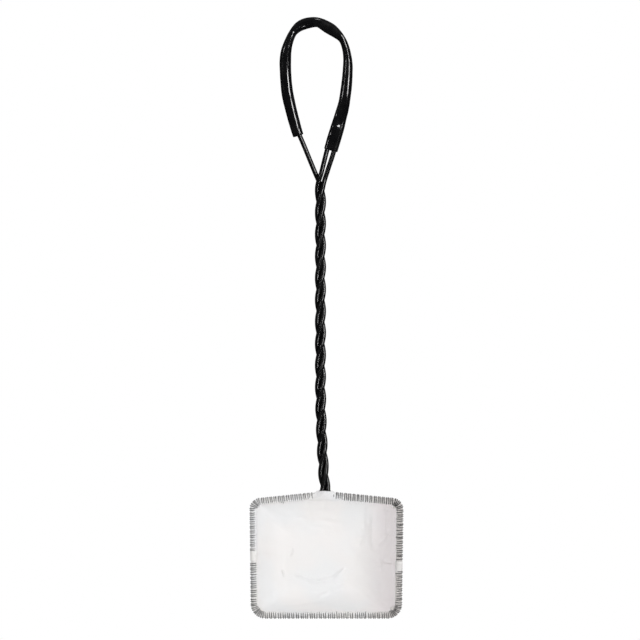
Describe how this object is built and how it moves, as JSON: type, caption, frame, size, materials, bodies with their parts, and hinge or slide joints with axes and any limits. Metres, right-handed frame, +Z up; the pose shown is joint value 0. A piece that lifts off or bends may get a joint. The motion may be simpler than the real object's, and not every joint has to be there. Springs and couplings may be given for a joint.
{
  "type": "aquarium fish net",
  "caption": "Small aquarium net: a coated wire twisted into a shank, with a hoop that carries a fine mesh bag and a hand loop in a soft vinyl sleeve.",
  "frame": {"origin": "where the hand loop hangs on a hook, under the crest of the grip sleeve", "axes": "+Z up along the shank towards the hand loop, +X to the right across the hoop, +Y behind the hoop, where the bag hangs"},
  "size_m": [0.1026, 0.0413, 0.4015],
  "materials": {
    "core_steel": "drawn steel",
    "wire_vinyl": "gloss",
    "sleeve_vinyl": "soft gloss",
    "mesh": "fine nylon mesh",
    "thread": "grey overlock thread"
  },
  "bodies": {
    "root": {"steel_wire": "core_steel", "stub_strand_coat": "wire_vinyl", "hoop_coat": "wire_vinyl", "left_strand_coat": "wire_vinyl", "grip_loop_coat": "wire_vinyl", "return_strand_coat": "wire_vinyl", "grip_sleeve": "sleeve_vinyl", "net_bag": "mesh", "side_seam_left": "mesh", "side_seam_right": "mesh", "hem_upper_left": "mesh", "hem_upper_right": "mesh", "hem_lower": "mesh", "hem_thread_upper_left": "thread", "hem_thread_upper_right": "thread", "hem_thread_lower": "thread", "shank_patch": "mesh"}
  },
  "joints": []
}
